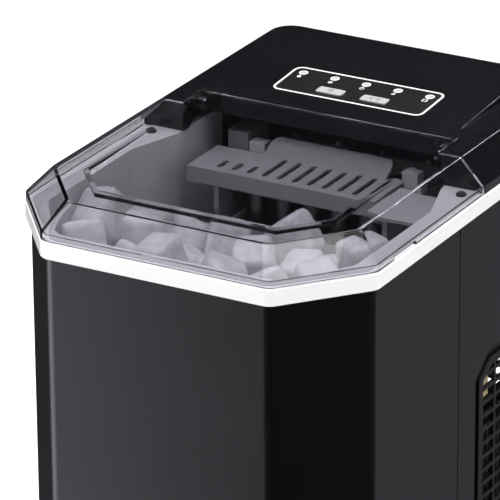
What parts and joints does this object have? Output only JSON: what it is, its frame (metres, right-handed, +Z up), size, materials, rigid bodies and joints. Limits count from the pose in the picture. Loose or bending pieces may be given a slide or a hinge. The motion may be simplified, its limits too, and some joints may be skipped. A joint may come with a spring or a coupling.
{
  "type": "countertop ice maker",
  "caption": "Countertop ice maker with a cut-cornered black cabinet, white trim band, clear hinged lid over an ice tub, and a rear control panel.",
  "frame": {"origin": "on the table under the centre of the machine", "axes": "+Z up, -Y towards the front, +X to the right of someone facing the front, seen from the front with the lid towards them"},
  "size_m": [0.22, 0.316, 0.325],
  "materials": {
    "zinc_steel": "zinc plated, satin",
    "rubber_black": "matte",
    "black_satin": "satin, fine moulded grain",
    "white_gloss": "glossy",
    "black_matte": "matte",
    "black_gloss": "satin gloss",
    "label_film": "printed film",
    "lamp_white": "diffusing",
    "button_white": "satin",
    "circuit_green": "solder mask",
    "clear_smoke": "clear, faint smoke tint",
    "tub_grey": "satin",
    "foam": "rigid foam",
    "chamber_black": "satin",
    "basket_clear": "translucent",
    "motor_plastic": "satin",
    "steel": "plain",
    "tray_grey": "satin",
    "shovel_grey": "satin",
    "nickel": "nickel plated",
    "sensor_grey": "satin",
    "silicone_hose": "translucent silicone",
    "compressor_black": "semi-gloss enamel",
    "fin_aluminium": "black coated",
    "brass": "plain",
    "copper": "drawn copper tube",
    "cable_black": "sleeved",
    "steel_dark": "black oxide"
  },
  "bodies": {
    "cabinet": {"base_pan": "zinc_steel", "rubber_feet": "rubber_black", "front_casing": "black_satin", "rear_casing": "black_satin", "trim_band": "white_gloss", "right_grille": "black_matte", "left_grille": "black_matte", "back_grille": "black_matte", "top_housing": "black_gloss", "panel_label": "label_film", "indicator_lamps": "lamp_white", "control_board": "circuit_green", "hinge_pins": "black_matte", "lid_bumpers": "rubber_black", "tub": "tub_grey", "tub_foam": "foam", "chamber_back": "chamber_black", "mechanism_frame": "tray_grey", "tray_motor": "motor_plastic", "evaporator": "nickel", "ice_sensors": "sensor_grey", "water_pump": "motor_plastic", "pump_hose": "silicone_hose", "drain_spout": "silicone_hose", "compressor": "compressor_black", "compressor_mounts": "rubber_black", "condenser": "fin_aluminium", "fan_shroud": "black_matte", "fan_motor": "steel", "gas_valve": "brass", "filter_drier": "copper", "refrigerant_lines": "copper", "power_board": "circuit_green", "wiring": "cable_black", "lead_gland": "black_matte", "casing_screws": "steel_dark", "base_screws": "steel_dark"},
    "lid": {"lid": "clear_smoke"},
    "power_button": {"power_button": "button_white"},
    "select_button": {"select_button": "button_white"},
    "fan": {"fan_blade": "black_matte"},
    "tray": {"tray_shaft": "steel", "water_tray": "tray_grey"},
    "shovel": {"ice_shovel": "shovel_grey"},
    "basket": {"ice_basket": "basket_clear"},
    "drain_cap": {"drain_cap": "black_matte"}
  },
  "joints": [
    {"name": "lid_hinge", "type": "hinge", "parent": "cabinet", "child": "lid", "pos_m": [0, 0.031, 0.314], "axis": [-1, 0, 0], "range_deg": [0, 85]},
    {"name": "power_button_press", "type": "slide", "parent": "cabinet", "child": "power_button", "axis": [0, 0.0656, -0.9978], "range_m": [0, 0.0008], "stiffness_N_per_m": 900, "springref_m": -0.0005},
    {"name": "select_button_press", "type": "slide", "parent": "cabinet", "child": "select_button", "axis": [0, 0.0656, -0.9978], "range_m": [0, 0.0008], "stiffness_N_per_m": 900, "springref_m": -0.0005},
    {"name": "fan_spin", "type": "hinge", "parent": "cabinet", "child": "fan", "pos_m": [0.067, 0.08425, 0.086], "axis": [1, 0, 0], "continuous": true},
    {"name": "tray_tilt", "type": "hinge", "parent": "cabinet", "child": "tray", "pos_m": [0, 0.05, 0.264], "axis": [1, 0, 0], "range_deg": [0, 60]},
    {"name": "shovel_push", "type": "slide", "parent": "cabinet", "child": "shovel", "axis": [0, -1, 0], "range_m": [0, 0.036]},
    {"name": "basket_lift", "type": "slide", "parent": "cabinet", "child": "basket", "axis": [0, 0, 1], "range_m": [0, 0.012]},
    {"name": "drain_cap_turn", "type": "hinge", "parent": "cabinet", "child": "drain_cap", "pos_m": [-0.03, -0.088, 0.004], "axis": [0, 0, 1], "range_deg": [0, 270]}
  ],
  "couplings": [
    {"joint": "shovel_push", "follows": "tray_tilt", "m_per_rad": 0.034374}
  ]
}
